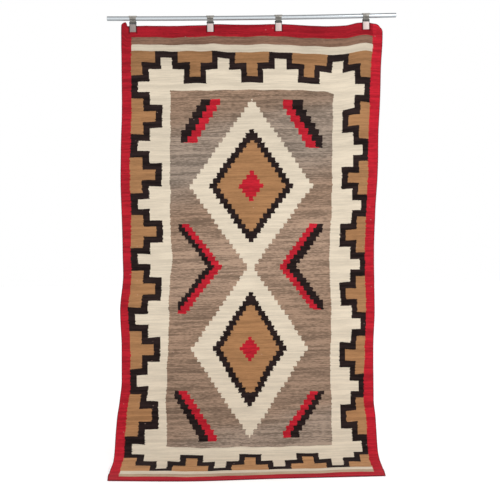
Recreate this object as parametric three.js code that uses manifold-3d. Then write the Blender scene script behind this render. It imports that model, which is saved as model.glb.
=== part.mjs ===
// A handwoven wool rug that hangs from a steel rod by four hinged pinch clips. Its lower end turns
// forward and lies on the floor. Millimetres, +Z up. The origin is midway between the centres of the
// rod's two ends, +X runs along the rod to the right, and the rug's face looks along -Y.

import * as THREE from "three";
import { mergeVertices } from "three/addons/utils/BufferGeometryUtils.js";
import Module from "manifold-3d";

// Clearance between pieces that touch
const GAP = 0.3;

// Rod: a plain round bar with a small chamfer at each end, bent a little by the rug's weight
const ROD_LENGTH = 1344;
const ROD_RADIUS = 10.65;
const ROD_CHAMFER = 1;
const ROD_SAG = 4.5;
const ROD_SIDES = 32;
const ROD_STEPS = 12;

// Rug: thickness of the cloth, and the floor that its lower end lies on
const CLOTH = 4;
const FLOOR_Z = -2063;
const LYING_BELOW = -FLOOR_Z - CLOTH / 2;

// Sections across the rug, from its top edge to its bottom edge. along is the cloth's own length from
// the top edge, below and forward place the middle of its thickness under and in front of the line
// between the rod's ends, and left and right are its side edges.
const SECTIONS = [
  { along: 0, below: 38, forward: 0, left: -603, right: 609 },
  { along: 60, below: 98, forward: 0, left: -605, right: 607 },
  { along: 200, below: 238, forward: 0, left: -606, right: 597 },
  { along: 340, below: 378, forward: 0, left: -606, right: 592 },
  { along: 540, below: 578, forward: 0, left: -611, right: 581 },
  { along: 720, below: 758, forward: 0, left: -617, right: 574 },
  { along: 890, below: 928, forward: 0, left: -612, right: 562 },
  { along: 1140, below: 1178, forward: 0, left: -609, right: 553 },
  { along: 1320, below: 1358, forward: 0, left: -625, right: 555 },
  { along: 1480, below: 1518, forward: 0, left: -620, right: 547 },
  { along: 1640, below: 1678, forward: 0, left: -622, right: 544 },
  { along: 1743, below: 1781, forward: 3, left: -633, right: 544 },
  { along: 1835, below: 1872, forward: 14, left: -645, right: 551 },
  { along: 1925, below: 1959, forward: 40, left: -649, right: 552 },
  { along: 1987, below: 2011, forward: 72, left: -649, right: 552 },
  { along: 2035, below: 2033, forward: 115, left: -647, right: 552 },
  { along: 2110, below: 2055, forward: 187, left: -650, right: 555 },
  { along: 2140, below: LYING_BELOW, forward: 216, left: -650, right: 556 },
  { along: 2250, below: LYING_BELOW, forward: 326, left: -638, right: 549 },
];
const RUG_LENGTH = SECTIONS.at(-1).along;

// How far forward the lower edge lies askew, from its left corner (0) to its right one (1)
const TOE = [
  { across: 0, forward: 4 },
  { across: 0.3, forward: 25 },
  { across: 0.6, forward: 1 },
  { across: 1, forward: -22 },
];
const TOE_START = 1835;

// How far the top edge hangs below its mean line, and how far the cloth bows back, along the rod:
// at the corners, at the clips and between them.
const HANG = [
  { at: -603, sag: 2, bow: 4 },
  { at: -552, sag: 0, bow: 0 },
  { at: -372, sag: 0, bow: 7 },
  { at: -215, sag: 0, bow: 1 },
  { at: -170, sag: -4, bow: 0 },
  { at: -34, sag: -1, bow: 5 },
  { at: 125, sag: -1, bow: 0 },
  { at: 200, sag: 4, bow: -3 },
  { at: 355, sag: 14, bow: -8 },
  { at: 430, sag: 11, bow: -6 },
  { at: 500, sag: -3, bow: -1 },
  { at: 532, sag: -4, bow: 0 },
  { at: 570, sag: 2, bow: 2 },
  { at: 609, sag: 4, bow: 4 },
];
const SAG_FADE = 600;
const BOW_FADE = 480;

// Soft ripples along the two side edges
const RIPPLE = { depth: 4.5, pitch: 470, second: 263, fadeFrom: 1650, fadeTo: 1900 };

// The top left corner is drawn up and bends inward as a small ear, and the top right one is drawn in
// round.
const EAR = { width: 28, bend: 24, radius: 15.5, lift: 29, reach: 150, forward: 5 };
const ROUND = { size: 35, back: 12 };

// Clips, each with a band that loops over the rod, a hinge pin, and a pair of jaws in one piece
const CLIPS = [
  { name: "clip_1", at: -552 },
  { name: "clip_2", at: -192 },
  { name: "clip_3", at: 125 },
  { name: "clip_4", at: 532 },
];
const PIN = { below: 19.5, radius: 2.5, length: 34, sides: 12 };
const BAND = { thick: 2.1, topWidth: 37, neckWidth: 26.8, neckBelow: 5 };
const JAW = { width: 32, thick: 1.6, top: 26, bottom: 63.5, lip: 4, flare: 1.3 };

// The grid of the rug's mesh
const COLUMN_STEP = 48;
const CORNER_COLUMNS = { left: 4, right: 5 };
const ROWS = [
  { to: 48, step: 8 },
  { to: 180, step: 33 },
  { to: 1620, step: 96 },
  { to: 1900, step: 40 },
  { to: 2140, step: 20 },
  { to: RUG_LENGTH, step: 27.5 },
];

const paint = {
  rug: new THREE.MeshStandardMaterial({ color: 0x9c8c78, roughness: 0.95, metalness: 0 }),
  rod: new THREE.MeshStandardMaterial({ color: 0xc4cad2, roughness: 0.3, metalness: 1 }),
  band: new THREE.MeshStandardMaterial({ color: 0x8b8a84, roughness: 0.45, metalness: 1 }),
  pin: new THREE.MeshStandardMaterial({ color: 0x55534f, roughness: 0.5, metalness: 1 }),
  jaws: new THREE.MeshStandardMaterial({ color: 0xd4d3cc, roughness: 0.4, metalness: 1 }),
};

// A smooth curve through one column of a table whose rows are sorted by key. It never passes beyond
// the values of the two rows that it runs between.
function column(rows, key, name) {
  const last = rows.length - 1;
  const slope = (i) => (rows[i + 1][name] - rows[i][name]) / (rows[i + 1][key] - rows[i][key]);
  const tangents = rows.map((_, i) => {
    const before = slope(Math.max(i - 1, 0));
    const after = slope(Math.min(i, last - 1));
    return before * after > 0 ? (2 * before * after) / (before + after) : 0;
  });
  return (x) => {
    const next = rows.findIndex((row) => row[key] >= x);
    const j = next < 0 ? last : Math.max(next, 1);
    const i = j - 1;
    const span = rows[j][key] - rows[i][key];
    const t = THREE.MathUtils.clamp((x - rows[i][key]) / span, 0, 1);
    const ease = t * t * (3 - 2 * t);
    const start = span * tangents[i] * t * (1 - t) * (1 - t);
    const end = span * tangents[j] * t * t * (1 - t);
    return rows[i][name] * (1 - ease) + rows[j][name] * ease + start - end;
  };
}

const below = column(SECTIONS, "along", "below");
const forward = column(SECTIONS, "along", "forward");
const leftEdge = column(SECTIONS, "along", "left");
const rightEdge = column(SECTIONS, "along", "right");
const sag = column(HANG, "at", "sag");
const bow = column(HANG, "at", "bow");
const toe = column(TOE, "across", "forward");
const { smoothstep } = THREE.MathUtils;
const fade = (along, reach) => Math.exp(-((along / reach) ** 2));

// 1 away from the clips and 0 where their jaws hold the cloth flat
function freeOfClips(x, along) {
  const lower = smoothstep(along, 45, 140);
  const free = CLIPS.map((clip) => smoothstep(Math.abs(x - clip.at), JAW.width / 2 + 8, 75));
  return Math.max(lower, Math.min(...free));
}

// An irregular wave of two pitches
function uneven({ depth, pitch, second }, along, shift) {
  const turn = 2 * Math.PI * along;
  return depth * (Math.sin(turn / pitch + shift) + 0.6 * Math.sin(turn / second - 2 * shift));
}

// The middle of the cloth's thickness: across runs from 0 at the left edge to 1 at the right one.
function cloth(across, along) {
  const top = leftEdge(0) + (rightEdge(0) - leftEdge(0)) * across;
  const side = 2 * across - 1;
  const still = 1 - smoothstep(along, RIPPLE.fadeFrom, RIPPLE.fadeTo);
  const ripple = Math.abs(side) ** 3 * still * uneven(RIPPLE, along, 2 * side);
  const skew = toe(across) * smoothstep(along, TOE_START, RUG_LENGTH);
  const p = new THREE.Vector3(
    leftEdge(along) + (rightEdge(along) - leftEdge(along)) * across,
    (bow(top) * fade(along, BOW_FADE) + ripple) * freeOfClips(top, along) - forward(along) - skew,
    -below(along) - sag(top) * fade(along, SAG_FADE),
  );
  ear(p, top - leftEdge(0), along);
  round(p, rightEdge(0) - top, along);
  return p;
}

// Draws the top left corner up, and bends the end of its side edge inward round an arc.
function ear(p, fromSide, along) {
  const hold = 1 - smoothstep(fromSide, 0, EAR.width);
  const turn = Math.max(0, EAR.bend - along) / EAR.radius;
  const lift = EAR.lift * (1 - smoothstep(along, EAR.bend, EAR.reach));
  p.x += hold * EAR.radius * (1 - Math.cos(turn));
  p.z += hold * (lift - EAR.radius * (turn - Math.sin(turn)));
  p.y -= 4 * hold * (1 - hold) * EAR.forward * Math.sin(turn);
}

// Draws the top right corner in, so that its two edges run round a quarter circle, and a little back.
function round(p, fromSide, along) {
  const right = Math.max(0, ROUND.size - fromSide);
  const up = Math.max(0, ROUND.size - along);
  const out = Math.hypot(right, up);
  if (out === 0) return;
  const drawn = 1 - Math.max(right, up) / out;
  p.x -= drawn * right;
  p.z -= drawn * up;
  p.y += (drawn * out * ROUND.back) / ROUND.size;
}

// Columns of the grid, as shares of the width: even steps between the edges and the sides of each clip
function columns() {
  const from = leftEdge(0);
  const to = rightEdge(0);
  const hold = JAW.width / 2 + 6;
  const marks = [from, ...CLIPS.flatMap((clip) => [clip.at - hold, clip.at + hold]), to];
  const last = marks.length - 1;
  const shares = [0];
  for (let i = 1; i <= last; i += 1) {
    const span = marks[i] - marks[i - 1];
    const corner = (i === 1 && CORNER_COLUMNS.left) || (i === last && CORNER_COLUMNS.right);
    const steps = corner || Math.ceil(span / COLUMN_STEP);
    for (let k = 1; k <= steps; k += 1) {
      const place = marks[i - 1] + (span * k) / steps;
      shares.push((place - from) / (to - from));
    }
  }
  return shares;
}

// Rows of the grid, as lengths along the cloth
function rows() {
  const places = [0];
  for (const { to, step } of ROWS) {
    const from = places.at(-1);
    const steps = Math.round((to - from) / step);
    for (let k = 1; k <= steps; k += 1) places.push(from + ((to - from) * k) / steps);
  }
  return places;
}

// The cloth as one closed sheet: its face, its back and its four edges.
function sheet() {
  const us = columns();
  const vs = rows();
  const step = { across: 1e-4, along: 0.1 };
  const sides = [[], []];
  for (const v of vs) {
    for (const u of us) {
      const p = cloth(u, v);
      const right = cloth(u + step.across, v).sub(cloth(u - step.across, v));
      const down = cloth(u, v + step.along).sub(cloth(u, v - step.along));
      const front = new THREE.Vector3().crossVectors(down, right).normalize();
      sides[0].push(p.clone().addScaledVector(front, CLOTH / 2));
      sides[1].push(p.clone().addScaledVector(front, -CLOTH / 2));
    }
  }
  const positions = [...sides[0], ...sides[1]].flatMap((p) => p.toArray());
  const at = (side, i, j) => side * us.length * vs.length + j * us.length + i;
  const index = [];
  const quad = (a, b, c, d) => index.push(a, b, c, a, c, d);
  for (let j = 0; j + 1 < vs.length; j += 1) {
    for (let i = 0; i + 1 < us.length; i += 1) {
      quad(at(0, i, j), at(0, i, j + 1), at(0, i + 1, j + 1), at(0, i + 1, j));
      quad(at(1, i, j), at(1, i + 1, j), at(1, i + 1, j + 1), at(1, i, j + 1));
    }
  }
  const right = us.length - 1;
  const bottom = vs.length - 1;
  for (let j = 0; j < bottom; j += 1) {
    quad(at(0, 0, j), at(1, 0, j), at(1, 0, j + 1), at(0, 0, j + 1));
    quad(at(0, right, j), at(0, right, j + 1), at(1, right, j + 1), at(1, right, j));
  }
  for (let i = 0; i < right; i += 1) {
    quad(at(0, i, 0), at(0, i + 1, 0), at(1, i + 1, 0), at(1, i, 0));
    quad(at(0, i, bottom), at(1, i, bottom), at(1, i + 1, bottom), at(0, i + 1, bottom));
  }
  const geometry = new THREE.BufferGeometry();
  geometry.setAttribute("position", new THREE.Float32BufferAttribute(positions, 3));
  geometry.setIndex(index);
  return geometry;
}

// How far the rod's axis lies below its ends, as a height
const rodHeight = (x) => -ROD_SAG * (1 - ((2 * x) / ROD_LENGTH) ** 2);

// Moves a piece along the rod, and lowers each of its points as far as the rod sags there.
function onRod(geometry, at = 0) {
  geometry.translate(at, 0, 0);
  const place = geometry.getAttribute("position");
  for (let i = 0; i < place.count; i += 1) {
    place.setZ(i, place.getZ(i) + rodHeight(place.getX(i)));
  }
  return geometry;
}

// The rod as a straight bar, turned so that its axis runs along X
function rodGeometry() {
  const end = ROD_LENGTH / 2;
  const profile = [new THREE.Vector2(0, -end), new THREE.Vector2(ROD_RADIUS - ROD_CHAMFER, -end)];
  const reach = end - ROD_CHAMFER;
  for (let k = 0; k <= ROD_STEPS; k += 1) {
    profile.push(new THREE.Vector2(ROD_RADIUS, reach * ((2 * k) / ROD_STEPS - 1)));
  }
  profile.push(new THREE.Vector2(ROD_RADIUS - ROD_CHAMFER, end), new THREE.Vector2(0, end));
  return new THREE.LatheGeometry(profile, ROD_SIDES).rotateZ(-Math.PI / 2);
}

// The outline of a strap round the rod above and the pin below: two arcs joined by straight sides.
function strapOutline(path, aroundRod, aroundPin) {
  const lean = Math.asin((aroundRod - aroundPin) / PIN.below);
  path.absarc(0, 0, aroundRod, -lean, Math.PI + lean, false);
  path.absarc(0, -PIN.below, aroundPin, Math.PI + lean, 2 * Math.PI - lean, false);
  path.closePath();
  return path;
}

// Turns a shape drawn in (Y, Z) and pulled out by width into a piece centred on X.
function acrossTheRod(shape, width, curveSegments) {
  const geometry = new THREE.ExtrudeGeometry(shape, { depth: width, bevelEnabled: false, curveSegments });
  geometry.translate(0, 0, -width / 2);
  geometry.applyMatrix4(new THREE.Matrix4().makeBasis(
    new THREE.Vector3(0, 1, 0),
    new THREE.Vector3(0, 0, 1),
    new THREE.Vector3(1, 0, 0),
  ));
  return geometry;
}

// The band: widest over the rod, and drawn in to the neck where the jaws hinge
function bandGeometry() {
  const inRod = ROD_RADIUS + GAP;
  const inPin = PIN.radius + GAP;
  const shape = strapOutline(new THREE.Shape(), inRod + BAND.thick, inPin + BAND.thick);
  shape.holes.push(strapOutline(new THREE.Path(), inRod, inPin));
  const geometry = acrossTheRod(shape, BAND.topWidth, 10);
  const place = geometry.getAttribute("position");
  const neck = BAND.neckWidth / BAND.topWidth;
  for (let i = 0; i < place.count; i += 1) {
    const narrow = smoothstep(-place.getZ(i), -inRod, BAND.neckBelow);
    place.setX(i, place.getX(i) * (1 + (neck - 1) * narrow));
  }
  return geometry;
}

function pinGeometry() {
  const geometry = new THREE.CylinderGeometry(PIN.radius, PIN.radius, PIN.length, PIN.sides);
  return geometry.rotateZ(Math.PI / 2).translate(0, 0, -PIN.below);
}

// The jaws in section: one strip bent over the pin, with a flat plate on each face of the cloth
function jawShape() {
  const inner = CLOTH / 2 + GAP;
  const inPin = PIN.radius + GAP;
  const shape = new THREE.Shape();
  const flareZ = -JAW.bottom + JAW.lip;
  shape.moveTo(inner + JAW.thick + JAW.flare, -JAW.bottom);
  shape.lineTo(inner + JAW.thick, flareZ);
  shape.lineTo(inner + JAW.thick, -JAW.top - 4);
  shape.lineTo(inPin + JAW.thick, -PIN.below);
  shape.absarc(0, -PIN.below, inPin + JAW.thick, 0, Math.PI, false);
  shape.lineTo(-inner - JAW.thick, -JAW.top - 4);
  shape.lineTo(-inner - JAW.thick, flareZ);
  shape.lineTo(-inner - JAW.thick - JAW.flare, -JAW.bottom);
  shape.lineTo(-inner - JAW.flare, -JAW.bottom);
  shape.lineTo(-inner, flareZ);
  shape.lineTo(-inner, -JAW.top - 4);
  shape.lineTo(-inPin, -PIN.below);
  shape.absarc(0, -PIN.below, inPin, Math.PI, 0, true);
  shape.lineTo(inner, -JAW.top - 4);
  shape.lineTo(inner, flareZ);
  shape.lineTo(inner + JAW.flare, -JAW.bottom);
  shape.closePath();
  return shape;
}

const wasm = await Module();
wasm.setup();

// A closed mesh as a solid that can be cut
function toSolid(geometry) {
  const bare = geometry.clone();
  bare.deleteAttribute("normal");
  bare.deleteAttribute("uv");
  const merged = mergeVertices(bare, 1e-4);
  const mesh = new wasm.Mesh({
    numProp: 3,
    vertProperties: merged.getAttribute("position").array,
    triVerts: new Uint32Array(merged.index.array),
  });
  return new wasm.Manifold(mesh);
}

function toGeometry(solid) {
  const mesh = solid.getMesh();
  const geometry = new THREE.BufferGeometry();
  geometry.setAttribute("position", new THREE.BufferAttribute(mesh.vertProperties, 3));
  geometry.setIndex(new THREE.BufferAttribute(mesh.triVerts, 1));
  return geometry;
}

// The jaws, with the strip cut away between two ears so that the band's neck fits between them
function jawGeometry() {
  const strip = toSolid(acrossTheRod(jawShape(), JAW.width, 8));
  const tall = JAW.top - 10;
  const slot = new THREE.BoxGeometry(BAND.neckWidth + 2 * GAP, 30, tall);
  slot.translate(0, 0, tall / 2 - JAW.top);
  return toGeometry(strip.subtract(toSolid(slot)));
}

const group = new THREE.Group();

function add(name, geometry, material) {
  const mesh = new THREE.Mesh(geometry, material);
  mesh.name = name;
  group.add(mesh);
}

add("rod", onRod(rodGeometry()), paint.rod);
add("rug", sheet(), paint.rug);
for (const clip of CLIPS) {
  add(clip.name + "_band", onRod(bandGeometry(), clip.at), paint.band);
  add(clip.name + "_pin", onRod(pinGeometry(), clip.at), paint.pin);
  add(clip.name + "_jaws", onRod(jawGeometry(), clip.at), paint.jaws);
}

export default group;
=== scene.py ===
"""The looks of a handwoven wool rug that hangs from a steel rod by four pinch clips, with its lower
end turned forward on the floor. Tables and sizes are in millimetres, and meshes are in metres. The
origin is midway between the rod's two ends, +X runs along it, and the rug's face looks along -Y."""

import math

import bmesh
import bpy
import numpy as np
from mathutils import Matrix, Vector


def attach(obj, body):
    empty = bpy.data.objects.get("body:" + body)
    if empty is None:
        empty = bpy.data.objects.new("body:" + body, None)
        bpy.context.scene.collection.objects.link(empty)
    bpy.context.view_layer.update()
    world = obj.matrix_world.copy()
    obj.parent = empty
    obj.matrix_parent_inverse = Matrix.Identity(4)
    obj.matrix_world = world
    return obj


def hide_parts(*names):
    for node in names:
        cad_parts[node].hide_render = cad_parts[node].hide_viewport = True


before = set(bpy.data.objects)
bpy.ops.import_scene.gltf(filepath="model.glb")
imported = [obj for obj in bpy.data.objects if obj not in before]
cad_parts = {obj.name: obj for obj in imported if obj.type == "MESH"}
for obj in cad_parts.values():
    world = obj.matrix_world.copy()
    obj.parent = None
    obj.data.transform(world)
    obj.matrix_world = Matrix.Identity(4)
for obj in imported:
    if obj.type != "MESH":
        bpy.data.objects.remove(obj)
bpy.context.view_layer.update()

MM = 0.001

# The cloth: its thickness, its sections from the top edge down, and how it hangs between the clips.
# These are the sizes of the solid that it replaces.
CLOTH = 4.0
SECTIONS = [
    dict(along=0, below=38, forward=0, left=-603, right=609),
    dict(along=60, below=98, forward=0, left=-605, right=607),
    dict(along=200, below=238, forward=0, left=-606, right=597),
    dict(along=340, below=378, forward=0, left=-606, right=592),
    dict(along=540, below=578, forward=0, left=-611, right=581),
    dict(along=720, below=758, forward=0, left=-617, right=574),
    dict(along=890, below=928, forward=0, left=-612, right=562),
    dict(along=1140, below=1178, forward=0, left=-609, right=553),
    dict(along=1320, below=1358, forward=0, left=-625, right=555),
    dict(along=1480, below=1518, forward=0, left=-620, right=547),
    dict(along=1640, below=1678, forward=0, left=-622, right=544),
    dict(along=1743, below=1781, forward=3, left=-633, right=544),
    dict(along=1835, below=1872, forward=14, left=-645, right=551),
    dict(along=1925, below=1959, forward=40, left=-649, right=552),
    dict(along=1987, below=2011, forward=72, left=-649, right=552),
    dict(along=2035, below=2033, forward=115, left=-647, right=552),
    dict(along=2110, below=2055, forward=187, left=-650, right=555),
    dict(along=2140, below=2061, forward=216, left=-650, right=556),
    dict(along=2250, below=2061, forward=326, left=-638, right=549),
]
LENGTH = SECTIONS[-1]["along"]
TOE = [
    dict(across=0, forward=4),
    dict(across=0.3, forward=25),
    dict(across=0.6, forward=1),
    dict(across=1, forward=-22),
]
TOE_START = 1835
HANG = [
    dict(at=-603, sag=2, bow=4),
    dict(at=-552, sag=0, bow=0),
    dict(at=-372, sag=0, bow=7),
    dict(at=-215, sag=0, bow=1),
    dict(at=-170, sag=-4, bow=0),
    dict(at=-34, sag=-1, bow=5),
    dict(at=125, sag=-1, bow=0),
    dict(at=200, sag=4, bow=-3),
    dict(at=355, sag=14, bow=-8),
    dict(at=430, sag=11, bow=-6),
    dict(at=500, sag=-3, bow=-1),
    dict(at=532, sag=-4, bow=0),
    dict(at=570, sag=2, bow=2),
    dict(at=609, sag=4, bow=4),
]
SAG_FADE = 600
BOW_FADE = 480
RIPPLE = dict(depth=4.5, pitch=470, second=263, fade_from=1650, fade_to=1900)
EAR = dict(width=28, bend=24, radius=15.5, lift=29, reach=150, forward=5)
ROUND = dict(size=35, back=12)
CLIPS = {"clip_1": -552, "clip_2": -192, "clip_3": 125, "clip_4": 532}
JAW_WIDTH = 32
ROD = dict(length=1344, sag=4.5)

# Soft cockles that only the fine sheet has: depth, and lengths across and along
COCKLES = [
    dict(depth=0.9, across=210, along=330, shift=0.4),
    dict(depth=0.6, across=-117, along=173, shift=2.1),
    dict(depth=0.35, across=61, along=-97, shift=4.4),
]

# The grid of the fine sheet, and the steps of its rounded edge from the face to the back
FINE = dict(inset=1, edge=52, edge_step=4, step=10.4, row_step=10.4, rim=4)

# The selvedge: a cord of two twisted strands round the cloth, whose ends stand out at the lower
# corners. margin is where the strands lie beside the cloth in its maps.
CORD = dict(
    strands=2, radius=1.35, turn=1.2, pitch=15, step=3, sides=5, out=0.6, rise=0.6, margin=12, apart=9
)
CORD_TIP = 9
TAPER = dict(start=0.35, step=0.13)

# The design, drawn symmetric about its middle: half sizes, repeats and levels of the stepped border
HALF_WIDTH = 600
MIDDLE = 1127.5
RED_IN = 564
STRIPES_IN = 1006.5
FIELD = dict(across=381, along=825.5)
STRIPE = dict(cream=33, brown=69)
STEPPED = dict(side_pitch=280, end_pitch=264, line=31, end_line=26.5, deep=163, shift=6)
LEVELS = [dict(depth=82, half=84, end_half=80.5), dict(depth=30, half=24, end_half=26)]
INNER = dict(side=140, end=147)

# The two diamonds: each part's rows are high each, its half width shrinks by wide from row to row,
# starting at reach, and it ends at end above and below the centre.
PART_COLUMNS = ("high", "wide", "reach", "end")
DIAMONDS = [
    dict(centre=-380, parts=dict(
        cream=(23.5, 16.9, 289, 402),
        black=(23.5, 16.9, 198, 264),
        tan=(23.5, 16.9, 161, 212),
        red=(20.6, 15.5, 56.5, 72),
    )),
    dict(centre=384, parts=dict(
        cream=(23.5, 15.9, 272.5, 402),
        black=(23.5, 14.7, 172, 264),
        tan=(23.5, 14.2, 135, 203),
        red=(16.3, 12.5, 45.5, 57),
    )),
]

# The slanting arms of the four bars and the two chevrons. Each is one side of the middle (side) and
# above or below it (half), and runs from near to far. Its rows are high each and counted from start,
# away from the middle (way 1) or towards it (way -1), and the last one is long. Its black lies
# between outer and mid, and its red between mid and inner, which each row shifts by a step.
ARM_COLUMNS = ("side", "half", "way", "near", "far", "start", "high", "last", "outer", "mid", "inner",
               "outer_step", "mid_step", "inner_step")
ARMS = [dict(zip(ARM_COLUMNS, row)) for row in (
    (-1, -1, -1, 583, 785, 785, 28.6, 5, 238.6, 194, 147.7, 18.8, 17.7, 17.6),
    (1, -1, -1, 558, 780, 764, 29, 5, 240, 190, 146, 19.3, 19, 18.3),
    (-1, 1, -1, 572, 798, 792, 22.6, 8, 236, 192, 153, 13.1, 14.5, 14.6),
    (1, 1, -1, 582, 787, 779, 22.6, 8, 231.5, 190.5, 154.5, 14.6, 15.9, 15.7),
    (-1, -1, 1, 0, 205, -7, 19.6, 9, 208, 176, 139, 15, 15.1, 15.4),
    (1, -1, 1, 0, 200, -7, 20.7, 8, 224, 175, 141, 15.1, 15.6, 15.2),
    (-1, 1, 1, 0, 220, -9, 21.3, 8, 217, 184, 143, 15.2, 15.7, 15.9),
    (1, 1, 1, 0, 204, -7, 20.5, 8, 224, 175, 141, 15.1, 15.6, 15.2),
)]

# How unevenly the design is woven. Across: widths of the red border and of the whole border from
# each side edge, and where the middle line runs. Along: where the lines of the design really lie.
WOVEN_ACROSS = [
    dict(along=0, red_left=49, field_left=222, middle=0, field_right=214, red_right=46),
    dict(along=160, red_left=42, field_left=222, middle=0, field_right=215, red_right=44),
    dict(along=340, red_left=44, field_left=223, middle=-2, field_right=216, red_right=47),
    dict(along=600, red_left=41, field_left=227, middle=-7, field_right=212, red_right=44),
    dict(along=770, red_left=42, field_left=228, middle=-11, field_right=206, red_right=43),
    dict(along=900, red_left=41, field_left=223, middle=-14, field_right=203, red_right=39.5),
    dict(along=1080, red_left=35, field_left=226, middle=-17, field_right=204, red_right=41),
    dict(along=1180, red_left=37, field_left=218, middle=-18.5, field_right=204, red_right=41),
    dict(along=1320, red_left=35, field_left=226, middle=-21, field_right=201, red_right=38),
    dict(along=1460, red_left=38, field_left=215, middle=-24, field_right=196, red_right=38),
    dict(along=1600, red_left=37, field_left=209, middle=-28, field_right=200, red_right=41),
    dict(along=1740, red_left=42, field_left=213, middle=-29, field_right=193, red_right=45),
    dict(along=1890, red_left=42, field_left=235, middle=-30, field_right=206, red_right=43),
    dict(along=2250, red_left=45, field_left=235, middle=-32, field_right=206, red_right=46),
]
WOVEN_ALONG = [
    dict(line=0, left=0, middle=0, right=0),
    dict(line=52, left=52, middle=54, right=57),
    dict(line=88, left=86, middle=92, right=95),
    dict(line=121, left=115, middle=127, right=131),
    dict(line=287.5, left=282, middle=288, right=311),
    dict(line=567.5, left=555, middle=567, right=588),
    dict(line=847.5, left=828, middle=848, right=843),
    dict(line=1127.5, left=1082, middle=1125, right=1119),
    dict(line=1407.5, left=1360, middle=1399, right=1394),
    dict(line=1687.5, left=1648, middle=1683, right=1683),
    dict(line=1953, left=1950, middle=1957, right=1947),
    dict(line=1967.5, left=1963, middle=1976, right=1968),
    dict(line=1986, left=1984, middle=1995.5, right=1988),
    dict(line=2054, left=2033, middle=2043, right=2030),
    dict(line=2104, left=2094, middle=2094, right=2092),
    dict(line=2134, left=2112, middle=2118, right=2112),
    dict(line=2167, left=2145, middle=2148, right=2135),
    dict(line=2203, left=2187, middle=2192, right=2180),
    dict(line=2255, left=2250, middle=2250, right=2250),
]

# The weave: distance between warps, height of one weft, and how far the wefts stand out
WARP = 3.2
WEFT = 1.6
RELIEF = 0.5

# Yarns: the mean colour, how far its tones spread, and how strongly it is heathered
YARNS = {
    "field": dict(mean=(0.27, 0.178, 0.122), spread=0.75, heather=1.0),
    "cream": dict(mean=(0.635, 0.55, 0.43), spread=0.2, heather=0.3),
    "black": dict(mean=(0.0165, 0.0095, 0.009), spread=1.0, heather=0.5),
    "tan": dict(mean=(0.322, 0.163, 0.072), spread=0.36, heather=0.5),
    "red": dict(mean=(0.41, 0.0125, 0.0235), spread=0.5, heather=0.6),
    "crimson": dict(mean=(0.365, 0.0115, 0.021), spread=0.5, heather=0.6),
    "brown": dict(mean=(0.185, 0.103, 0.068), spread=0.5, heather=0.8),
    "beige": dict(mean=(0.47, 0.35, 0.24), spread=0.4, heather=0.8),
    "cord": dict(mean=(0.13, 0.009, 0.018), spread=0.8, heather=0.5),
}
YARN_ORDER = list(YARNS)

# How light each yarn is down the cloth, and how far it turns to grey: lots of yarn differ, and cream, tan
# and crimson grow darker towards the top edge.
LOTS = {
    "field": [
        dict(along=310, light=0.93, grey=0),
        dict(along=370, light=0.78, grey=0.1),
        dict(along=480, light=1.08, grey=0.9),
        dict(along=625, light=0.96, grey=1),
        dict(along=840, light=0.94, grey=0),
        dict(along=1045, light=1.16, grey=0.2),
        dict(along=1400, light=0.96, grey=0),
        dict(along=1640, light=0.9, grey=0.1),
        dict(along=1800, light=0.97, grey=0.2),
        dict(along=1900, light=1.1, grey=0.8),
    ],
    "crimson": [
        dict(along=0, light=0.75, grey=0),
        dict(along=120, light=0.88, grey=0),
        dict(along=420, light=1, grey=0),
        dict(along=1700, light=1, grey=0),
        dict(along=2000, light=1.15, grey=0),
    ],
    "cream": [
        dict(along=110, light=0.82, grey=0),
        dict(along=240, light=0.97, grey=0),
        dict(along=450, light=0.93, grey=0),
        dict(along=800, light=1, grey=0),
    ],
    "tan": [
        dict(along=150, light=0.84, grey=0),
        dict(along=330, light=1, grey=0),
        dict(along=1850, light=1.05, grey=0),
        dict(along=2060, light=1.35, grey=0.2),
    ],
}
GREY = (-0.1, 0.07, 0.23)
LOT_SLANT = {"field": 0.2}

# The camera: distance in front of the rod, its place, its view in pixels, and its roll
CAMERA = dict(x=-20, y=-4000, z=-1084, focal_px=860, picture_px=500, sensor_mm=36, roll=0.012)
FLOOR_Z = -2063


def smoothstep(value, low, high):
    t = np.clip((value - low) / (high - low), 0, 1)
    return t * t * (3 - 2 * t)


def column(rows, key, name):
    """A smooth curve through one column of a table, never beyond the rows it runs between."""
    places = np.array([row[key] for row in rows], float)
    values = np.array([row[name] for row in rows], float)
    slope = np.diff(values) / np.diff(places)
    before = np.concatenate([slope[:1], slope])
    after = np.concatenate([slope, slope[-1:]])
    both = np.where(before * after > 0, before + after, 1)
    tangent = np.where(before * after > 0, 2 * before * after / both, 0)

    def at(x):
        j = np.clip(np.searchsorted(places, x), 1, len(places) - 1)
        i = j - 1
        span = places[j] - places[i]
        t = np.clip((x - places[i]) / span, 0, 1)
        ease = t * t * (3 - 2 * t)
        start = span * tangent[i] * t * (1 - t) ** 2
        end = span * tangent[j] * t * t * (1 - t)
        return values[i] * (1 - ease) + values[j] * ease + start - end

    return at


below = column(SECTIONS, "along", "below")
forward = column(SECTIONS, "along", "forward")
left_edge = column(SECTIONS, "along", "left")
right_edge = column(SECTIONS, "along", "right")
sag = column(HANG, "at", "sag")
bow = column(HANG, "at", "bow")
toe = column(TOE, "across", "forward")


def free_of_clips(x, along):
    """1 away from the clips, and 0 where their jaws hold the cloth flat."""
    free = smoothstep(along, 45, 140)
    gaps = [smoothstep(abs(x - at), JAW_WIDTH / 2 + 8, 75) for at in CLIPS.values()]
    return np.maximum(free, np.minimum.reduce(gaps))


def uneven(wave, along, shift):
    turn = 2 * math.pi * along
    first = np.sin(turn / wave["pitch"] + shift)
    return wave["depth"] * (first + 0.6 * np.sin(turn / wave["second"] - 2 * shift))


def flat_x(across, along):
    """Where a point of the cloth lies along the rod, before its corners turn."""
    return left_edge(along) + (right_edge(along) - left_edge(along)) * across


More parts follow.
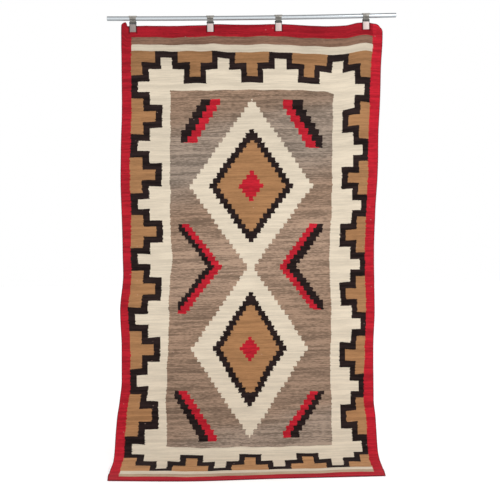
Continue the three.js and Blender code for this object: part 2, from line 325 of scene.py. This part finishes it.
def cloth(across, along):
    """The middle of the cloth's thickness, for arrays of across (0 to 1) and along (mm)."""
    top = left_edge(0) + (right_edge(0) - left_edge(0)) * across
    side = 2 * across - 1
    still = 1 - smoothstep(along, RIPPLE["fade_from"], RIPPLE["fade_to"])
    ripple = abs(side) ** 3 * still * uneven(RIPPLE, along, 2 * side)
    skew = toe(across) * smoothstep(along, TOE_START, LENGTH)
    bowed = bow(top) * np.exp(-((along / BOW_FADE) ** 2))
    x = flat_x(across, along)
    y = (bowed + ripple + cockles(x, along) * still) * free_of_clips(top, along)
    y = y - forward(along) - skew
    z = -below(along) - sag(top) * np.exp(-((along / SAG_FADE) ** 2))
    ear_x, ear_y, ear_z = ear(top - left_edge(0), along)
    in_x, in_y, in_z = drawn_in(right_edge(0) - top, along)
    return np.stack([x + ear_x + in_x, y + ear_y + in_y, z + ear_z + in_z], axis=-1)


def ear(from_side, along):
    """How the top left corner is drawn up, and the end of its side edge bent inward round an arc."""
    hold = 1 - smoothstep(from_side, 0, EAR["width"])
    turn = np.maximum(0, EAR["bend"] - along) / EAR["radius"]
    lift = EAR["lift"] * (1 - smoothstep(along, EAR["bend"], EAR["reach"]))
    x = hold * EAR["radius"] * (1 - np.cos(turn))
    y = -4 * hold * (1 - hold) * EAR["forward"] * np.sin(turn)
    return x, y, hold * (lift - EAR["radius"] * (turn - np.sin(turn)))


def drawn_in(from_side, along):
    """How the top right corner is drawn in, so that its edges run round a quarter circle."""
    right = np.maximum(0, ROUND["size"] - from_side)
    up = np.maximum(0, ROUND["size"] - along)
    out = np.maximum(np.hypot(right, up), 1e-6)
    drawn = np.where(out > 0.01, 1 - np.maximum(right, up) / out, 0)
    return -drawn * right, drawn * out * ROUND["back"] / ROUND["size"], -drawn * up


def cockles(x, along):
    total = 0
    for wave in COCKLES:
        turn = x / wave["across"] + along / wave["along"]
        total = total + wave["depth"] * np.sin(2 * math.pi * turn + wave["shift"])
    return total


def design_place(across, along):
    """The point of the drawn design that is woven at a point of the cloth."""
    rows = WOVEN_ACROSS
    x = flat_x(across, along)
    left = left_edge(along)
    right = right_edge(along)
    marks = [
        (left, -HALF_WIDTH),
        (left + column(rows, "along", "red_left")(along), -RED_IN),
        (left + column(rows, "along", "field_left")(along), -FIELD["across"]),
        (column(rows, "along", "middle")(along), 0),
        (right - column(rows, "along", "field_right")(along), FIELD["across"]),
        (right - column(rows, "along", "red_right")(along), RED_IN),
        (right, HALF_WIDTH),
    ]
    drawn_x = x - left + marks[0][1]
    for (a, at_a), (b, at_b) in zip(marks, marks[1:]):
        drawn_x = np.where(x >= a, at_a + (x - a) * (at_b - at_a) / (b - a), drawn_x)
    lines = [row["line"] for row in WOVEN_ALONG]
    drawn = {
        name: np.interp(along, [row[name] for row in WOVEN_ALONG], lines)
        for name in ("left", "middle", "right")
    }
    inner_end = 330 - 330 * (1 - smoothstep(along, 130, 260)) - 60 * smoothstep(along, 1860, 1940)
    at_side = smoothstep(abs(drawn_x), inner_end, 420)
    in_border = smoothstep(abs(drawn_x), 385, 415) * (1 - smoothstep(abs(drawn_x), 505, 550))
    drawn_x = drawn_x - STEPPED["shift"] * in_border * smoothstep(along, 200, 350)
    side = np.where(drawn_x < 0, drawn["left"], drawn["right"])
    drawn_y = drawn["middle"] * (1 - at_side) + side * at_side
    wobble_x = 1.3 * np.sin(along / 23 + drawn_x / 90) + 1.1 * np.sin(along / 57 - drawn_x / 37)
    wobble_y = 1.5 * np.sin(drawn_x / 43 + along / 130) + 1.2 * np.sin(drawn_x / 19 - along / 71)
    inside = smoothstep(HALF_WIDTH - abs(drawn_x), 0, 60)
    return drawn_x + wobble_x * inside, drawn_y + wobble_y


def spread(start, end, step):
    return np.linspace(start, end, max(1, round((end - start) / step)) + 1)


def fine_grid():
    """Shares of the width and lengths along the cloth, closer together near the edges."""
    wide = right_edge(0) - left_edge(0)
    edge = FINE["edge"]
    a = spread(FINE["inset"], edge, FINE["edge_step"])
    b = spread(edge, wide - edge, FINE["step"])
    across = np.concatenate([a, b[1:], wide - a[::-1][1:]]) / wide
    along = np.concatenate([a, spread(edge, LENGTH - FINE["inset"], FINE["row_step"])[1:]])
    return across, along


def unit(vectors):
    return vectors / np.linalg.norm(vectors, axis=-1, keepdims=True)


def edge_loop(columns, rows):
    """Grid places round the edge, counterclockwise as the face is seen, and the way out of each."""
    last_c, last_r = columns - 1, rows - 1
    places = [(0, r) for r in range(last_r)]
    places += [(c, last_r) for c in range(last_c)]
    places += [(last_c, r) for r in range(last_r, 0, -1)]
    places += [(c, 0) for c in range(last_c, 0, -1)]
    outs = [((c == last_c) - (c == 0), (r == last_r) - (r == 0)) for c, r in places]
    return np.array(places), np.array(outs, float)


def side_path(side):
    """Points along one edge of the cloth, with the ways out, along and to the face, and the design."""
    lengthwise = side in ("left", "right")
    reach = LENGTH if lengthwise else right_edge(0) - left_edge(0)
    places = spread(0, reach, CORD["step"])
    if lengthwise:
        across = np.full(len(places), 0.0 if side == "left" else 1.0)
        along = places
    else:
        across = places / reach
        along = np.full(len(places), 0.0 if side == "top" else LENGTH)
    points, rightward, downward, front = cloth_frame(across, along)
    out = {"left": -rightward, "right": rightward, "top": -downward, "bottom": downward}[side]
    drawn = np.stack(design_place(across, along), axis=-1)
    return points, out, front, downward if lengthwise else rightward, drawn, lengthwise


def longer(points, steps, ends):
    """The points, and at each end that has a tip a few more in a straight line."""
    before, after = (round(end / CORD["step"]) for end in ends)
    head = [points[0] - (k + 1) * steps[0] for k in range(before)][::-1]
    tail = [points[-1] + (k + 1) * steps[-1] for k in range(after)]
    head, tail = (np.reshape(end, (-1, points.shape[1])) for end in (head, tail))
    return np.concatenate([head, points, tail])


def cord_strands(side):
    """The strands along one edge: rings of points, and where each point lies in the maps."""
    points, out, front, ahead, drawn, lengthwise = side_path(side)
    tips = {"left": (0, CORD_TIP), "right": (0, CORD_TIP), "top": (0, 0), "bottom": (0, 0)}[side]
    still = np.zeros_like(out)
    centres = longer(points, CORD["step"] * ahead, tips)
    map_step = np.array([[0.0, 1.0]] if lengthwise else [[1.0, 0.0]]) * CORD["step"]
    drawn = longer(drawn, np.repeat(map_step, len(drawn), axis=0), tips)
    out, front = (longer(way, still, tips) for way in (out, front))
    map_out = {"left": (-1, 0), "right": (1, 0), "top": (0, -1), "bottom": (0, 1)}[side]
    turn = 2 * math.pi * CORD["step"] * np.arange(len(centres)) / CORD["pitch"]
    lying = smoothstep(-centres[:, 2:], -FLOOR_Z - 60, -FLOOR_Z)
    centres = centres + CORD["out"] * out + lying * CORD["rise"] * front
    order = np.arange(len(centres))
    taper = np.minimum(1, TAPER["start"] + TAPER["step"] * np.minimum(order, order[::-1]))[:, None]
    strands = []
    for number in range(CORD["strands"]):
        phase = turn + 2 * math.pi * number / CORD["strands"]
        swing = np.cos(phase)[:, None] * out + np.sin(phase)[:, None] * front
        middle = centres + CORD["turn"] * taper * swing
        rings, maps = [], []
        for k in range(CORD["sides"] + 1):
            angle = 2 * math.pi * k / CORD["sides"]
            aside = math.cos(angle) * out + math.sin(angle) * front
            rings.append(middle + CORD["radius"] * taper * aside)
            beyond = CORD["margin"] + number * CORD["apart"] + CORD["radius"] * angle
            edge = {"left": -HALF_WIDTH, "right": HALF_WIDTH, "top": 0, "bottom": 2 * MIDDLE}[side]
            place = drawn.copy()
            place[:, 0 if lengthwise else 1] = edge
            maps.append(place + beyond * np.array(map_out))
        strands.append((np.stack(rings[:-1]), np.stack(maps)))
    return strands


def tube_quads(sides, length, first):
    """Quads of a tube whose points are numbered ring by ring along its length, for each side."""
    ring = np.arange(sides)[:, None] * length + first
    step = np.arange(length - 1)[None, :]
    here = ring + step
    beside = np.roll(ring, -1, axis=0) + step
    return np.stack([here, beside, beside + 1, here + 1], axis=-1)


def cloth_frame(across, along):
    """The middle of the cloth, and the ways to the right, down the cloth and out of its face."""
    tiny_across, tiny_along = 2e-4, 0.25
    rightward = unit(cloth(across + tiny_across, along) - cloth(across - tiny_across, along))
    downward = unit(cloth(across, along + tiny_along) - cloth(across, along - tiny_along))
    return cloth(across, along), rightward, downward, unit(np.cross(downward, rightward))


def sheet_map(places, quad_groups, edge, outs):
    """A map of the cloth for each of its quads, carried on over the rim as far as the rim goes."""
    flat = places.reshape(-1, 2)
    at_edge = places[edge]
    out_scale = CLOTH / 2 * outs
    maps = [flat[quads] for quads in quad_groups]
    for k in range(FINE["rim"]):
        near = at_edge + out_scale * math.pi * k / FINE["rim"]
        far = at_edge + out_scale * math.pi * (k + 1) / FINE["rim"]
        maps.append(np.stack([near, far, np.roll(far, -1, 0), np.roll(near, -1, 0)], axis=1))
    return maps


def build_rug():
    """The cloth as one closed sheet with a cord round it, and its maps: design, weave and bake."""
    shares, lengths = fine_grid()
    across, along = np.meshgrid(shares, lengths)
    rows, columns = across.shape
    middle, rightward, downward, front = cloth_frame(across, along)
    half = CLOTH / 2
    face = (middle + front * half).reshape(-1, 3)
    back = (middle - front * half).reshape(-1, 3)
    places, outs = edge_loop(columns, rows)
    c, r = places.T
    outward = outs[:, :1] * rightward[r, c] + outs[:, 1:] * downward[r, c]
    outward = unit(outward)
    drawn = np.stack(design_place(across, along), axis=-1)
    woven = np.stack([flat_x(across, along), along], axis=-1)
    rings = []
    for k in range(1, FINE["rim"]):
        turn = math.pi * k / FINE["rim"]
        ring = middle[r, c] + half * (outward * math.sin(turn) + front[r, c] * math.cos(turn))
        rings.append(ring)

    count = rows * columns
    grid = np.arange(count).reshape(rows, columns)
    a, b = grid[:-1, :-1], grid[1:, :-1]
    d, e = grid[:-1, 1:], grid[1:, 1:]
    face_quads = np.stack([a, b, e, d], axis=-1).reshape(-1, 4)
    back_quads = np.stack([a, d, e, b], axis=-1).reshape(-1, 4) + count
    edge_face = grid[r, c]
    levels = [edge_face]
    levels += [2 * count + k * len(places) + np.arange(len(places)) for k in range(len(rings))]
    levels.append(edge_face + count)
    rim_quads = []
    for upper, lower in zip(levels, levels[1:]):
        quad = [upper, lower, np.roll(lower, -1), np.roll(upper, -1)]
        rim_quads.append(np.stack(quad, axis=-1))
    sheet_points = [face, back, *rings]
    cord_points, cord_quads, cord_maps = [], [], []
    first = sum(len(part) for part in sheet_points)
    for side in ("left", "bottom", "right", "top"):
        for strand, strand_map in cord_strands(side):
            sides, length = strand.shape[:2]
            quads = tube_quads(sides, length, first)
            cord_points.append(strand.reshape(-1, 3))
            cord_quads.append(quads.reshape(-1, 4))
            corners = [strand_map[:-1, :-1], strand_map[1:, :-1], strand_map[1:, 1:], strand_map[:-1, 1:]]
            cord_maps.append(np.stack(corners, axis=-2).reshape(-1, 4, 2))
            first += sides * length
    points = np.concatenate(sheet_points + cord_points) * MM
    quads = np.concatenate([face_quads, back_quads, *rim_quads, *cord_quads])

    mesh = bpy.data.meshes.new("rug_cloth")
    mesh.from_pydata(points.tolist(), [], quads.tolist())
    mesh.update()

    quad_groups = [face_quads, back_quads - count]
    drawn_maps = sheet_map(drawn, quad_groups, (r, c), outs) + cord_maps
    woven_maps = sheet_map(woven, quad_groups, (r, c), outs) + cord_maps
    for name, loop_maps in (("design", drawn_maps), ("weave", woven_maps)):
        loops = np.concatenate(loop_maps) * MM
        mesh.uv_layers.new(name=name).data.foreach_set("uv", loops.ravel())

    wide, long = 2 * (HALF_WIDTH + 30), MIDDLE * 2 + 60
    bake = np.concatenate(drawn_maps)
    bake[..., 0] = (bake[..., 0] + HALF_WIDTH + 30) / wide * 0.5
    bake[..., 1] = 1 - (bake[..., 1] + 30) / long
    bake[len(face_quads):len(face_quads) + len(back_quads), :, 0] += 0.5
    mesh.uv_layers.new(name="OFBake").data.foreach_set("uv", bake.ravel())
    mesh.polygons.foreach_set("use_smooth", np.ones(len(quads), bool))
    rug = bpy.data.objects.new("rug_cloth", mesh)
    bpy.context.scene.collection.objects.link(rug)
    return rug


class Num:
    """A number that a material's nodes work out. Arithmetic on it adds Math nodes."""

    def __init__(self, tree, socket):
        self.tree = tree
        self.socket = socket

    def math(self, operation, *others):
        node = self.tree.nodes.new("ShaderNodeMath")
        node.operation = operation
        for slot, value in zip(node.inputs, (self, *others)):
            if isinstance(value, Num):
                self.tree.links.new(value.socket, slot)
            else:
                slot.default_value = value
        return Num(self.tree, node.outputs[0])

    def __add__(self, other):
        return self.math("ADD", other)

    def __sub__(self, other):
        return self.math("SUBTRACT", other)

    def __rsub__(self, other):
        return (self * -1) + other

    def __mul__(self, other):
        return self.math("MULTIPLY", other)

    def __truediv__(self, other):
        return self * (1 / other)

    __radd__ = __add__
    __rmul__ = __mul__

    def __gt__(self, limit):
        return self.math("GREATER_THAN", limit)

    def __lt__(self, limit):
        return self.math("LESS_THAN", limit)

    def __abs__(self):
        return self.math("ABSOLUTE")

    def floor(self):
        return self.math("FLOOR")

    def sin(self):
        return self.math("SINE")

    def repeat(self, pitch):
        """The signed distance to the nearest multiple of a pitch."""
        return self - (self / pitch + 0.5).floor() * pitch

    def changed(self, mask, value):
        """This number, but the value where the mask is 1."""
        return self + (value - self) * mask


def least(*terms):
    result = terms[0]
    for term in terms[1:]:
        result = result.math("MINIMUM", term)
    return result


def most(*terms):
    result = terms[0]
    for term in terms[1:]:
        result = result.math("MAXIMUM", term)
    return result


def stepped_border(side_in, end_in, down, x):
    """How far a point lies inside the cream of the stepped border, negative outside it."""
    along_side = abs(down.repeat(STEPPED["side_pitch"]))
    along_end = abs((x - STEPPED["end_pitch"] / 2).repeat(STEPPED["end_pitch"]))
    deep = STEPPED["deep"]
    outer = LEVELS[0]["depth"]
    thicker = STEPPED["line"] / STEPPED["end_line"]
    parts = [least(side_in - INNER["side"], end_in - INNER["end"])]
    for level in LEVELS:
        depth = level["depth"]
        parts.append(least(side_in - depth, level["half"] - along_side, deep - side_in, end_in - outer))
        beside = (level["end_half"] - along_end) * thicker
        parts.append(least(end_in - depth, beside, deep - end_in, side_in - outer))
    return most(*parts)


def arm_parts(arm, x, down):
    """Masks of the black outer side and the red inner side of a stepped slanting arm."""
    away = x * arm["side"]
    off = down * arm["half"]
    row = ((off - arm["start"]) * (arm["way"] / arm["high"])).floor().math("MAXIMUM", 0.0)
    outer = row.math("MINIMUM", arm["last"]) * arm["outer_step"] + arm["outer"]
    mid = row * arm["mid_step"] + arm["mid"]
    inner = row * arm["inner_step"] + arm["inner"]
    in_rows = least(arm["far"] - off, off - arm["near"]) > 0
    return (least(outer - away, away - mid) > 0) * in_rows, (least(mid - away, away - inner) > 0) * in_rows


def yarn_at(x, y):
    """The number of the yarn woven at a point of the design, in the order of YARNS."""
    cream, black, tan, red, crimson, brown, beige, cord = range(1, len(YARN_ORDER))
    down = y - MIDDLE
    away = abs(x)
    off = abs(down)
    side_in = RED_IN - away
    end_in = STRIPES_IN - off

    yarn = away * 0
    for diamond in DIAMONDS:
        from_centre = abs(down - diamond["centre"])
        for name, sizes in diamond["parts"].items():
            part = dict(zip(PART_COLUMNS, sizes))
            row = (from_centre / part["high"] + 0.5).floor()
            in_part = least(part["reach"] - row * part["wide"] - away, part["end"] - from_centre) > 0
            yarn = yarn.changed(in_part, YARN_ORDER.index(name))

    for arm in ARMS:
        outer_side, inner_side = arm_parts(arm, x, down)
        yarn = yarn.changed(outer_side, black)
        yarn = yarn.changed(inner_side, red)

    inside = stepped_border(side_in, end_in, down, x)
    border = (inside > -STEPPED["line"]) * (black - tan) + tan
    border = border.changed(inside > 0, cream)
    in_field = least(FIELD["across"] - away, FIELD["along"] - off) > 0
    yarn = border.changed(in_field, yarn)
    yarn = yarn.changed(end_in < 0, cream)
    yarn = yarn.changed(end_in < -STRIPE["cream"], (down < 0) * (brown - beige) + beige)
    yarn = yarn.changed(end_in < -STRIPE["brown"], (down < 0) * (crimson - red) + red)
    yarn = yarn.changed(side_in < 0, (x < 0) * (crimson - red) + red)
    beyond = most(away - HALF_WIDTH, off - MIDDLE)
    return yarn.changed(beyond > CORD["margin"] - 2, cord)


def new_material(name):
    material = bpy.data.materials.new(name)
    material.use_nodes = True
    return material, material.node_tree, material.node_tree.nodes["Principled BSDF"]


def link(tree, source, target):
    tree.links.new(source.socket if isinstance(source, Num) else source, target)


def combined(tree, x, y, z=0.0):
    node = tree.nodes.new("ShaderNodeCombineXYZ")
    for slot, value in zip(node.inputs, (x, y, z)):
        if isinstance(value, Num):
            link(tree, value, slot)
        else:
            slot.default_value = value
    return node.outputs[0]


def noise_at(tree, vector, scale=1.0, detail=2.0, rough=0.5):
    node = tree.nodes.new("ShaderNodeTexNoise")
    node.inputs["Scale"].default_value = scale
    node.inputs["Detail"].default_value = detail
    node.inputs["Roughness"].default_value = rough
    link(tree, vector, node.inputs["Vector"])
    return Num(tree, node.outputs["Fac"])


def yarn_ramp(tree, yarn, tone):
    """The colour of a yarn at one end of its spread of tones, with its heather as alpha."""
    node = tree.nodes.new("ShaderNodeValToRGB")
    ramp = node.color_ramp
    ramp.interpolation = "CONSTANT"
    while len(ramp.elements) < len(YARN_ORDER):
        ramp.elements.new(1.0)
    for number, name in enumerate(YARN_ORDER):
        look = YARNS[name]
        element = ramp.elements[number]
        element.position = max(0, number - 0.5) / len(YARN_ORDER)
        share = 1 + tone * look["spread"] / 2
        element.color = (*(channel * share for channel in look["mean"]), look["heather"])
    link(tree, yarn / len(YARN_ORDER), node.inputs["Fac"])
    return node.outputs["Color"], Num(tree, node.outputs["Alpha"])


def lot_ramp(tree, y, rows):
    """Half of how much lighter or darker each channel of a yarn is down the cloth."""
    node = tree.nodes.new("ShaderNodeValToRGB")
    ramp = node.color_ramp
    ramp.interpolation = "EASE"
    while len(ramp.elements) < len(rows):
        ramp.elements.new(1.0)
    for element, row in zip(ramp.elements, rows):
        element.position = row["along"] / (2 * MIDDLE)
        channels = [row["light"] * (1 + row["grey"] * turn) / 2 for turn in GREY]
        element.color = (*channels, 1)
    link(tree, y / (2 * MIDDLE), node.inputs["Fac"])
    return node.outputs["Color"]


def mixed(tree, blend, factor, a, b):
    node = tree.nodes.new("ShaderNodeMix")
    node.data_type = "RGBA"
    node.blend_type = blend
    for socket, value in ((node.inputs[0], factor), (node.inputs[6], a), (node.inputs[7], b)):
        if isinstance(value, (Num, bpy.types.NodeSocket)):
            link(tree, value, socket)
        else:
            socket.default_value = value
    return node.outputs[2]


def map_place(tree, name):
    """The place in one of the cloth's maps, in mm."""
    uv = tree.nodes.new("ShaderNodeUVMap")
    uv.uv_map = name
    split = tree.nodes.new("ShaderNodeSeparateXYZ")
    link(tree, uv.outputs[0], split.inputs[0])
    return Num(tree, split.outputs[0]) / MM, Num(tree, split.outputs[1]) / MM


def weave(x, y):
    """The relief of the weave at a point, and the middle of the pass of weft that shows there."""
    warp = (x / WARP).floor()
    odd = (warp * 0.5 - (warp * 0.5).floor()) * 2
    weft_line = y / WEFT + odd * 0.5
    weft = weft_line.floor()
    rib = ((x / WARP - warp) * math.pi).sin()
    float_rise = ((weft_line - weft) * math.pi).sin()
    height = rib * (float_rise * 0.5 + 0.5)
    return height, (warp + 0.5) * WARP, (weft + 0.5 - odd * 0.5) * WEFT


def teeth(tree, woven_y):
    """How far an edge between two yarns is shifted aside, which changes every few wefts."""
    node = tree.nodes.new("ShaderNodeTexWhiteNoise")
    node.noise_dimensions = "1D"
    link(tree, (woven_y / (3 * WEFT)).floor(), node.inputs["W"])
    return (Num(tree, node.outputs["Value"]) - 0.5) * WARP


def yarn_tone(tree, woven_x, woven_y, specks):
    """How light a yarn is within its spread of tones, 0 to 1, from bands, streaks and specks."""
    slant = woven_y + woven_x * 0.012
    bands = noise_at(tree, combined(tree, woven_x / 700, slant / 14), detail=3, rough=0.6)
    streaks = noise_at(tree, combined(tree, woven_x / 110, slant / 4.5, 7.0), detail=2)
    patches = noise_at(tree, combined(tree, woven_x / 190, slant / 34, 9.0), detail=1)
    tone = (bands - 0.5) * 2.5 + (streaks - 0.5) * 2.4 + (patches - 0.5) * 1.6 + specks + 0.5
    return tone.math("MINIMUM", 1.0).math("MAXIMUM", 0.0)


def in_lots(tree, colour, yarn, woven_x, woven_y):
    """The colour, lighter, darker or greyer by the lot of yarn that is woven there."""
    wander = (noise_at(tree, combined(tree, woven_x / 500, woven_y / 60, 5.0)) - 0.5) * 90
    for name, rows in LOTS.items():
        of_yarn = abs(yarn - YARN_ORDER.index(name)) < 0.5
        lot_at = woven_y + wander + woven_x * LOT_SLANT.get(name, 0.0)
        lot = mixed(tree, "MULTIPLY", 1.0, colour, lot_ramp(tree, lot_at, rows))
        doubled = mixed(tree, "ADD", 1.0, lot, lot)
        colour = mixed(tree, "MIX", of_yarn, colour, doubled)
    return colour


def lint(tree, x, y):
    """A mask of a few pale flecks of lint."""
    fleck = tree.nodes.new("ShaderNodeTexVoronoi")
    fleck.inputs["Scale"].default_value = 1.0
    link(tree, combined(tree, x / 34, y / 21), fleck.inputs["Vector"])
    chance = tree.nodes.new("ShaderNodeSeparateColor")
    link(tree, fleck.outputs["Color"], chance.inputs[0])
    return (Num(tree, fleck.outputs["Distance"]) < 0.09) * (Num(tree, chance.outputs[0]) > 0.8)


def wool_material():
    """Weft-faced tapestry in handspun wool, with its design worked out from the design map."""
    material, tree, shader = new_material("rug_wool")
    drawn_x, drawn_y = map_place(tree, "design")
    x, y = map_place(tree, "weave")
    height, woven_x, woven_y = weave(x, y)
    yarn = yarn_at(drawn_x + (woven_x - x) + teeth(tree, woven_y), drawn_y + (woven_y - y))

    dark, heather = yarn_ramp(tree, yarn, -1)
    light, _ = yarn_ramp(tree, yarn, 1)
    speckle = noise_at(tree, combined(tree, woven_x / 20, woven_y / 4, 3.0), detail=1, rough=0.6)
    tone = yarn_tone(tree, woven_x, woven_y, (speckle - 0.5) * heather * 2.6)
    colour = mixed(tree, "MIX", tone, dark, light)
    colour = in_lots(tree, colour, yarn, woven_x, woven_y)
    colour = mixed(tree, "MIX", lint(tree, x, y) * 0.3, colour, (0.6, 0.42, 0.36, 1))
    # Painted shadow: the wool is darkened in a strip beside each side of every clip's jaws near the top
    # edge. shade also paints shade into the hollows of the weave.
    beside = least(*(abs(x - at) for at in CLIPS.values()))
    jaw_side_shadow = (beside > JAW_WIDTH / 2 - 2) * (beside < JAW_WIDTH / 2 + 5) * (y < 34)
    shade = (height * 0.3 + 0.85) * (1 - jaw_side_shadow * 0.45)
    colour = mixed(tree, "MULTIPLY", 1.0, colour, combined(tree, shade, shade, shade))
    link(tree, colour, shader.inputs["Base Color"])

    lumps = noise_at(tree, combined(tree, x / 14, y / 5, 11.0), detail=2)
    bump = tree.nodes.new("ShaderNodeBump")
    bump.inputs["Distance"].default_value = RELIEF * MM
    link(tree, height + lumps * 0.8, bump.inputs["Height"])
    link(tree, bump.outputs[0], shader.inputs["Normal"])
    link(tree, speckle * 0.15 + 0.82, shader.inputs["Roughness"])
    shader.inputs["Sheen Weight"].default_value = 0.03
    shader.inputs["Sheen Roughness"].default_value = 0.6
    shader.inputs["Specular IOR Level"].default_value = 0.04
    return material


def metal_material(name, colour, roughness, streak, mottle, shadow=None):
    """Steel with fine streaks along X and soft mottling. shadow darkens it by its place in a piece."""
    material, tree, shader = new_material(name)
    coords = tree.nodes.new("ShaderNodeTexCoord")
    split = tree.nodes.new("ShaderNodeSeparateXYZ")
    link(tree, coords.outputs["Object"], split.inputs[0])
    x, y, z = (Num(tree, out) / MM for out in split.outputs)
    fine = noise_at(tree, combined(tree, x / 40, y / 0.7, z / 0.7), detail=2)
    patches = noise_at(tree, combined(tree, x / 6, y / 6, z / 6), detail=3, rough=0.6)
    tone = (fine - 0.5) * streak + (patches - 0.5) * mottle + 1
    if shadow:
        tone = tone * shadow(x, y, z)
    tone = tone.math("MAXIMUM", 0.05)
    tint = combined(tree, tone * colour[0], tone * colour[1], tone * colour[2])
    link(tree, tint, shader.inputs["Base Color"])
    rough = (patches - 0.5) * 0.3 + (fine - 0.5) * 0.15 + roughness
    link(tree, rough, shader.inputs["Roughness"])
    shader.inputs["Metallic"].default_value = 1.0
    bump = tree.nodes.new("ShaderNodeBump")
    bump.inputs["Distance"].default_value = 0.05 * MM
    link(tree, fine + patches, bump.inputs["Height"])
    link(tree, bump.outputs[0], shader.inputs["Normal"])
    return material


def ramp_up(value, low, high):
    """0 below low and 1 above high, for a number of the nodes."""
    return ((value - low) / (high - low)).math("MINIMUM", 1.0).math("MAXIMUM", 0.0)


def rod_shadow(x, y, z):
    """Painted shade along the top and the underside of the rod, and a painted highlight between them."""
    up = z + ROD["sag"] - (x * x) * (ROD["sag"] * 4 / ROD["length"] ** 2)
    painted_highlight = ramp_up(up, -9.5, -2) * (1 - ramp_up(up, 1, 4))
    return painted_highlight * 0.6 + 0.42


def band_shadow(x, y, z):
    """Painted shade under the rod and at the neck, and lighter metal over the top of the band."""
    shade_under_rod = 1 - ramp_up(abs(z + 9.5), 1, 4)
    shade_at_neck = 1 - ramp_up(z, -22, -12)
    return ramp_up(z, 2, 9) * 0.5 + 0.9 - (shade_under_rod + shade_at_neck).math("MINIMUM", 1.0) * 0.6


def jaw_shadow(x, y, z):
    """Painted shade along the sides of the jaws, and over their tops below the hinge."""
    side = 1 - ramp_up(abs(x), 12.8, 14.2) * 0.82
    return side * (1 - ramp_up(z, -31, -28) * 0.85)


def softened(node_name, piece_name, width, material, at=0):
    """A CAD piece again, with its edges rounded and its curved faces smooth, and its origin at a clip."""
    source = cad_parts[node_name]
    mesh = source.data.copy()
    mesh.name = piece_name
    mesh.transform(Matrix.Translation((-at * MM, 0, 0)) @ source.matrix_world)
    work = bmesh.new()
    work.from_mesh(mesh)
    bmesh.ops.remove_doubles(work, verts=work.verts, dist=1e-6)
    flat = math.radians(0.05)
    bmesh.ops.dissolve_limit(work, angle_limit=flat, verts=work.verts, edges=work.edges)
    sharp = math.radians(35)
    edges = [e for e in work.edges if len(e.link_faces) == 2 and e.calc_face_angle() > sharp]
    bmesh.ops.bevel(
        work, geom=edges, offset=width * MM, segments=2, profile=0.5, affect="EDGES", clamp_overlap=True
    )
    for face in work.faces:
        face.smooth = True
    work.to_mesh(mesh)
    work.free()
    mesh.materials.clear()
    mesh.materials.append(material)
    mesh.set_sharp_from_angle(angle=math.radians(38))
    piece = bpy.data.objects.new(piece_name, mesh)
    piece.location.x = at * MM
    bpy.context.scene.collection.objects.link(piece)
    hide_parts(node_name)
    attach(piece, "root")
    return piece


def build_stage():
    bpy.ops.mesh.primitive_plane_add(size=40, location=(0, 0, FLOOR_Z * MM))
    floor = bpy.context.object
    floor.name = "floor"
    material, tree, shader = new_material("floor_white")
    grain = tree.nodes.new("ShaderNodeTexNoise")
    grain.inputs["Scale"].default_value = 3.0
    pale = Num(tree, grain.outputs["Fac"]) * 0.02 + 0.88
    link(tree, combined(tree, pale, pale, pale), shader.inputs["Base Color"])
    shader.inputs["Roughness"].default_value = 0.9
    shader.inputs["Emission Color"].default_value = (1, 1, 1, 1)
    shader.inputs["Emission Strength"].default_value = 0.22
    floor.data.materials.append(material)

    world = bpy.data.worlds.new("studio")
    bpy.context.scene.world = world
    world.use_nodes = True
    sky = world.node_tree.nodes["Background"]
    sky.inputs["Color"].default_value = (1, 1, 1, 1)
    sky.inputs["Strength"].default_value = 1.0


def add_light(name, place, aim, size, watts):
    data = bpy.data.lights.new(name, "AREA")
    data.shape = "RECTANGLE"
    data.size, data.size_y = size
    data.energy = watts
    lamp = bpy.data.objects.new(name, data)
    turn = (Vector(aim) - Vector(place)).to_track_quat("-Z", "Y")
    lamp.matrix_world = Matrix.Translation(place) @ turn.to_matrix().to_4x4()
    bpy.context.scene.collection.objects.link(lamp)


def build_camera():
    data = bpy.data.cameras.new("camera")
    data.sensor_width = CAMERA["sensor_mm"]
    data.lens = CAMERA["focal_px"] * CAMERA["sensor_mm"] / CAMERA["picture_px"]
    camera = bpy.data.objects.new("camera", data)
    roll = CAMERA["roll"]
    turn = Matrix((
        (math.cos(roll), math.sin(roll), 0),
        (0, 0, -1),
        (-math.sin(roll), math.cos(roll), 0),
    ))
    place = Matrix.Translation([CAMERA[axis] * MM for axis in "xyz"])
    camera.matrix_world = place @ turn.to_4x4()
    bpy.context.scene.collection.objects.link(camera)
    bpy.context.scene.camera = camera


build_camera()
build_stage()
add_light("key", (2.2, -3.0, 0.6), (0.2, 0, -1.0), (2.0, 2.0), 40)

rug = build_rug()
rug.data.materials.append(wool_material())
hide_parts("rug")
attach(rug, "root")

rod_steel = metal_material("rod_steel", (0.63, 0.67, 0.7), 0.3, 0.1, 0.15, rod_shadow)
softened("rod", "rod_tube", 0.4, rod_steel)
band_steel = metal_material("band_steel", (0.3, 0.285, 0.26), 0.42, 0.4, 1.6, band_shadow)
pin_steel = metal_material("pin_steel", (0.1, 0.095, 0.09), 0.45, 0.2, 0.5)
jaw_steel = metal_material("jaw_steel", (0.6, 0.505, 0.475), 0.6, 0.12, 0.2, jaw_shadow)
dull_steel = metal_material("dull_steel", (0.31, 0.27, 0.25), 0.5, 0.4, 0.6, jaw_shadow)
for name, at in CLIPS.items():
    jaw = dull_steel if name == "clip_1" else jaw_steel
    softened(name + "_band", name + "_strap", 0.3, band_steel, at)
    softened(name + "_pin", name + "_hinge", 0.3, pin_steel, at)
    softened(name + "_jaws", name + "_grip", 0.3, jaw, at)

bpy.context.scene.view_settings.view_transform = "Standard"
